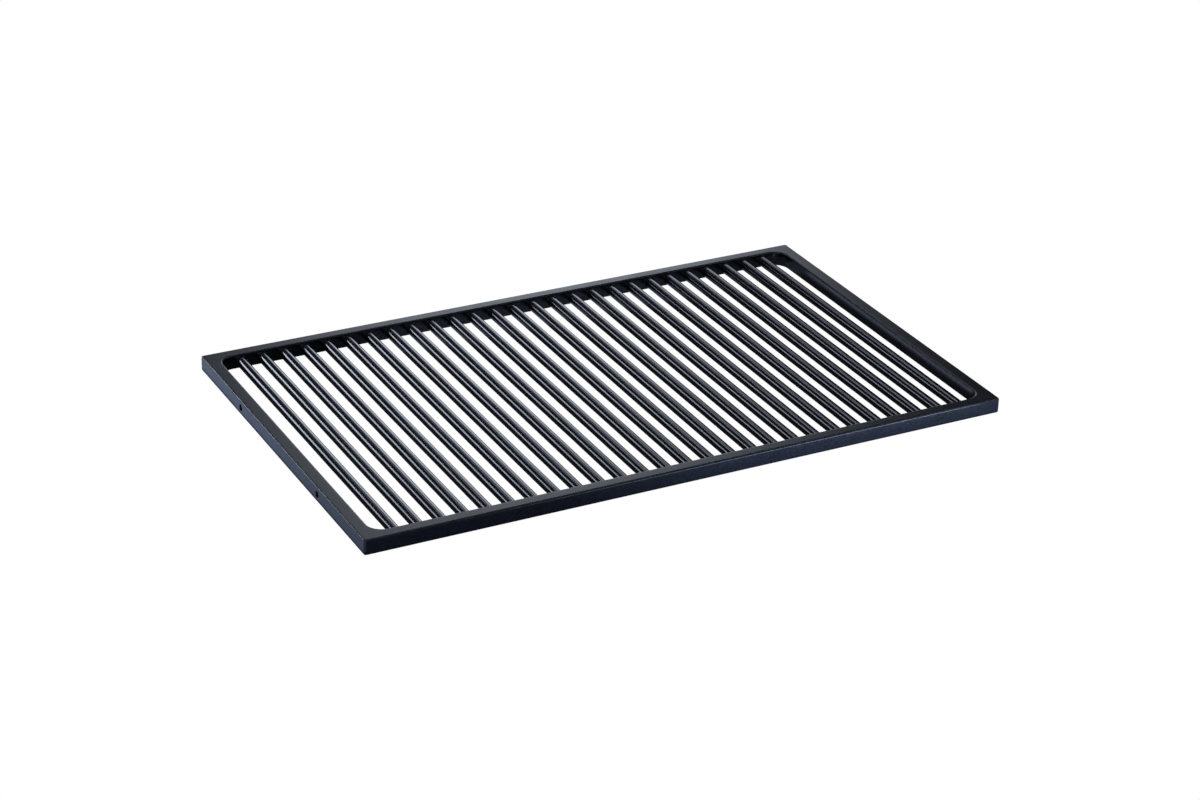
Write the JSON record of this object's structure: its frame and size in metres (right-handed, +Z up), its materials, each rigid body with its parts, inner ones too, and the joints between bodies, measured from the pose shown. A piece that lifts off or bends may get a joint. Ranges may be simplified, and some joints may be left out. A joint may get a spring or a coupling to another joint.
{
  "type": "grill grid",
  "caption": "Flat rectangular grill grid: a closed black coated frame with parallel round rods between its two long rails.",
  "frame": {"origin": "centre of the underside, on the plane the grid rests on", "axes": "+X along the long side, away from the end with the two small holes; +Y along the rods, towards the back; +Z up"},
  "size_m": [0.53, 0.325, 0.0124],
  "materials": {
    "frame_coating": "satin black non-stick coating on aluminium, slightly textured",
    "rod_coating": "smooth satin-gloss black non-stick coating on aluminium"
  },
  "bodies": {
    "root": {"frame": "frame_coating", "rod_01": "rod_coating", "rod_02": "rod_coating", "rod_03": "rod_coating", "rod_04": "rod_coating", "rod_05": "rod_coating", "rod_06": "rod_coating", "rod_07": "rod_coating", "rod_08": "rod_coating", "rod_09": "rod_coating", "rod_10": "rod_coating", "rod_11": "rod_coating", "rod_12": "rod_coating", "rod_13": "rod_coating", "rod_14": "rod_coating", "rod_15": "rod_coating", "rod_16": "rod_coating", "rod_17": "rod_coating", "rod_18": "rod_coating", "rod_19": "rod_coating", "rod_20": "rod_coating", "rod_21": "rod_coating", "rod_22": "rod_coating", "rod_23": "rod_coating", "rod_24": "rod_coating", "rod_25": "rod_coating", "rod_26": "rod_coating", "rod_27": "rod_coating"}
  },
  "joints": []
}
